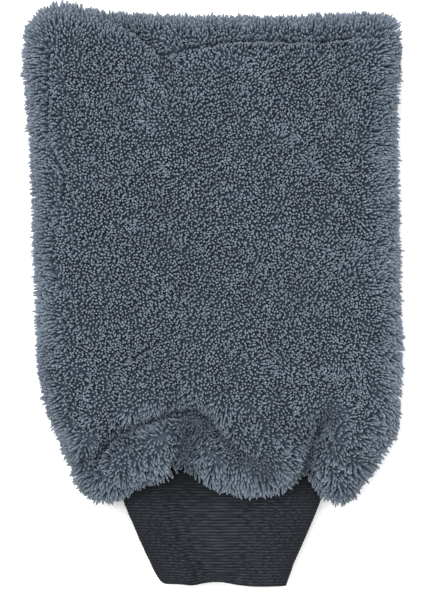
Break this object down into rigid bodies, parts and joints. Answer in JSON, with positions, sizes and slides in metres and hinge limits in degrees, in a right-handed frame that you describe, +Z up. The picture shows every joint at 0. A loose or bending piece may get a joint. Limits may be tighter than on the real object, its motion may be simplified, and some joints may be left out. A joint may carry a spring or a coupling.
{
  "type": "wash mitt",
  "caption": "Plush pile wash mitt with a flat hand pocket, an inner lining and a tapered ribbed elastic wrist cuff.",
  "frame": {"origin": "centre of the footprint, on the surface that the mitt lies on", "axes": "+Z up, out of the front face; +Y towards the fingertip end, so the cuff is at -Y; +X across the hand"},
  "size_m": [0.1894, 0.2916, 0.0359],
  "materials": {
    "plush": "deep twisted-tuft microfibre pile, matt, blue-grey with lighter tuft tips",
    "lining": "thin plain-knit polyester lining, matt, dark grey",
    "cuff_webbing": "woven elastic webbing with fine cross ribs, matt black",
    "sewing_thread": "spun polyester sewing thread, dark grey, slight sheen"
  },
  "bodies": {
    "mitt": {"outer_front_panel": "plush", "outer_back_panel": "plush", "outer_seam_thread": "sewing_thread", "lining_front_panel": "lining", "lining_back_panel": "lining", "lining_seam_thread": "sewing_thread", "lining_tack_right": "sewing_thread", "lining_tack_left": "sewing_thread"},
    "cuff": {"cuff_band": "cuff_webbing", "cuff_side_seam_thread": "sewing_thread", "cuff_join_thread": "sewing_thread"}
  },
  "joints": [
    {"name": "cuff_bend", "type": "hinge", "parent": "mitt", "child": "cuff", "pos_m": [0.0043, -0.09345, 0.0125], "axis": [-1, 0, 0], "range_deg": [0, 30]}
  ]
}
